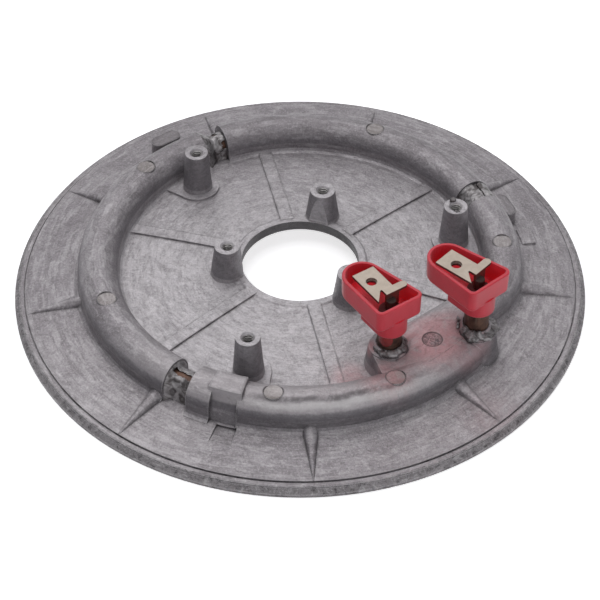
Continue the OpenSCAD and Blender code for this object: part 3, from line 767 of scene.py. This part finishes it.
def make_flash(material):
    """Torn collars round both leads, chips on a boss and crumbs beside the right lead."""
    rng = random.Random(11)
    bm = bmesh.new()
    ragged_collar(bm, LEFT_POST, BASE_Z + 0.9, 0.5, 1.3, 2.3, 20, -60, 4.0)
    piece("left_collar", bm, material)
    bm = bmesh.new()
    ragged_collar(bm, RIGHT_POST, BASE_Z + 1.3, 0.6, 2.3, 2.9, 200, -45, 9.0)
    for k in range(7):
        a = math.radians(rng.uniform(120, 265))
        r = TUBE_R + rng.uniform(0.9, 2.3)
        x = RIGHT_POST[0] + r * math.cos(a)
        y = RIGHT_POST[1] + r * math.sin(a)
        z = BASE_Z + rng.uniform(0.5, 1.4)
        shard(bm, (x, y, z), (rng.uniform(0.25, 0.8), rng.uniform(0.2, 0.6), rng.uniform(0.2, 0.7)), rng)
    piece("right_collar", bm, material)
    bm = bmesh.new()
    boss = on_ring(TALL_R, TALL_A, TALL_Z) / MM
    shard(bm, boss + Vector((-0.8, 2.5, 0.5)), (1.1, 0.7, 0.9), rng)
    shard(bm, boss + Vector((-0.2, -2.3, 0.0)), (0.7, 0.4, 0.4), rng)
    shard(bm, boss + Vector((0.9, -2.2, 0.0)), (0.4, 0.4, 0.3), rng)
    piece("boss_chips", bm, material)


def skin_point(angle, phi, r):
    """A point of a skin round the tube; phi runs from the inner foot to the outer one, with 0 on top."""
    side = 85.0
    if abs(phi) <= side:
        reach = r * math.sin(math.radians(phi))
        z = TUBE_Z + r * math.cos(math.radians(phi))
    else:
        down = (abs(phi) - side) / 55.0
        reach = math.copysign(r * (1 + 0.18 * down * down), phi)
        top = TUBE_Z + r * math.cos(math.radians(side))
        z = top + down * (web_z(RING_R + reach) - 0.25 - top)
    return on_ring(RING_R + reach, angle, z)


def gap_skin(name, gap_a, seed, radius, torn, material):
    """Thin torn metal over the tube in one gap; radius and torn take the share of the gap and phi."""
    along, round_steps, reach = 44, 112, 140.0
    bm = bmesh.new()
    rows = []
    for i in range(along + 1):
        share = i / along
        angle = gap_a + (GAP_W + 0.3) * (share - 0.5)
        row = []
        for k in range(round_steps + 1):
            phi = reach * (2 * k / round_steps - 1)
            crumple = wavering((angle * 0.8, phi * 0.030, 0), seed, 3)
            row.append(bm.verts.new(skin_point(angle, phi, radius(share, phi) + 0.15 * crumple)))
        rows.append(row)
    for i in range(along):
        for k in range(round_steps):
            share = (i + 0.5) / along
            phi = reach * (2 * (k + 0.5) / round_steps - 1)
            rag = 0.5 * wavering((share * 9, phi * 0.11, 3), seed + 5)
            if not torn(share + 0.09 * rag, phi + 9 * rag):
                bm.faces.new((rows[i][k], rows[i + 1][k], rows[i + 1][k + 1], rows[i][k + 1]))
    bmesh.ops.delete(bm, geom=[v for v in bm.verts if not v.link_faces], context="VERTS")
    bmesh.ops.recalc_face_normals(bm, faces=bm.faces[:])
    bmesh.ops.solidify(bm, geom=bm.faces[:], thickness=0.14 * MM)
    piece(name, bm, material)


def make_skins(material):
    """The bead's three gaps: rough at the back, half open at the right, torn open at the front."""
    base_r = TUBE_R + 0.34

    def back_radius(share, phi):
        rise = (BEAD_R - base_r) * smooth((share - 0.5) / 0.5)
        return base_r + rise + 0.25 * smooth((0.25 - share) / 0.25)

    def back_torn(share, phi):
        slit = 0.15 < share < 0.85 and 38 < phi < 45
        hole = 0.22 < share < 0.42 and 4 < phi < 30
        pocket = share < 0.20 and -75 < phi < -38
        return slit or hole or pocket

    def right_radius(share, phi):
        strip = BEAD_R - 1.0
        return strip + 0.70 * smooth((phi - 18) / 8) + 0.35 * smooth((share - 0.80) / 0.20)

    def right_torn(share, phi):
        return (0.10 < share and 11 < phi < 16) or (share > 0.93 and 0 < phi < 60)

    def front_radius(share, phi):
        return base_r + 1.6 * smooth((0.26 - share) / 0.26)

    def front_torn(share, phi):
        return 0.10 < share < 0.90 and -3 < phi < 17 + 8 * share

    gap_skin("back_gap_skin", GAP_BACK_A, 2.0, back_radius, back_torn, material)
    gap_skin("right_gap_skin", GAP_RIGHT_A, 5.0, right_radius, right_torn, material)
    gap_skin("front_gap_skin", GAP_FRONT_A, 7.0, front_radius, front_torn, material)


def make_platform_skin(material):
    """Metal that fills the hollow between the tail's bead and the ring's, with a sunk ejector mark."""
    along, across = 120, 72
    heading = math.radians(TAIL_HEADING)
    tail = Vector((math.cos(heading), math.sin(heading)))
    start = Vector(LEFT_POST) + tail * 4.9
    tail_l = 31.0
    ring_from_a, ring_span_a = -65, 43
    crown_z = TUBE_Z + BEAD_R
    low_z = 14.3
    lead_clear = 0.9
    mark_depth = 0.30
    bm = bmesh.new()
    rows = []
    for i in range(along + 1):
        u = i / along
        one = start + tail * (tail_l * u)
        two = on_ring(RING_R, ring_from_a + ring_span_a * u, 0).xy / MM
        row = []
        for k in range(across + 1):
            v = k / across
            p = one.lerp(two, v)
            level = low_z + (crown_z + 0.05 - low_z) * smooth(u / 0.30)
            z = level - 0.10 * math.sin(math.pi * v) + 0.07 * wavering((p.x * 0.35, p.y * 0.35, 0), 1.0)
            away = (p - Vector(PLATFORM_MARK)).length
            z -= mark_depth * smooth((MARK_R + 0.1 - away) / 0.35)
            row.append(bm.verts.new(Vector((p.x, p.y, z)) * MM))
        rows.append(row)
    post = Vector(RIGHT_POST) * MM
    for i in range(along):
        for k in range(across):
            corners = (rows[i][k], rows[i + 1][k], rows[i + 1][k + 1], rows[i][k + 1])
            centre = sum((c.co.xy for c in corners), Vector((0, 0))) / 4
            if (centre - post).length > (TUBE_R + lead_clear) * MM:
                bm.faces.new(corners)
    bmesh.ops.delete(bm, geom=[v for v in bm.verts if not v.link_faces], context="VERTS")
    bmesh.ops.recalc_face_normals(bm, faces=bm.faces[:])
    bmesh.ops.solidify(bm, geom=bm.faces[:], thickness=0.3 * MM)
    piece("platform_skin", bm, material)


def make_drip(material):
    """A red smear that ran down the left lead."""
    bm = bmesh.new()
    made = bmesh.ops.create_uvsphere(bm, u_segments=24, v_segments=16, radius=1)
    for v in made["verts"]:
        a = math.radians(-112) + v.co.x * 0.62
        r = TUBE_R - 0.15 + 0.50 * (v.co.y * 0.5 + 0.5)
        z = 19.9 + 2.6 * v.co.z
        v.co = Vector((LEFT_POST[0] + r * math.cos(a), LEFT_POST[1] + r * math.sin(a), z)) * MM
    piece("red_smear", bm, material)


def dress_nodes(frame, materials):
    """Gives each carried-over solid its finish."""
    dress = {
        "plate_casting": "cast", "heater_sheath": "sheath", "magnesia_fill": "powder",
        "resistance_coil": "pin", "terminal_pin_left": "pin", "terminal_pin_right": "pin",
        "end_seal_left": "seal", "end_seal_right": "seal",
        "insulator_cap_left": "rubber", "insulator_cap_right": "rubber",
        "terminal_tab_left": "tab", "terminal_tab_right": "tab",
    }
    for node, key in dress.items():
        made = frame["nodes"][node]
        made.data.materials.clear()
        made.data.materials.append(materials[key])


def main():
    """Builds the whole scene."""
    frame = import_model()
    bpy.context.scene.view_settings.view_transform = "Standard"
    make_camera()
    make_lights()
    make_floor()
    materials = {
        "cast": cast_aluminium(), "sheath": browned_steel(), "rubber": red_rubber(),
        "tab": dull_nickel(), "pin": pin_steel(), "seal": seal_compound(),
        "powder": sealed_powder(), "break": bright_break(), "drip": red_drip(),
        "thread": cut_thread(),
    }
    dress_nodes(frame, materials)
    make_threads(materials)
    make_flash(materials["break"])
    make_skins(materials["break"])
    make_platform_skin(materials["cast"])
    make_drip(materials["drip"])


main()
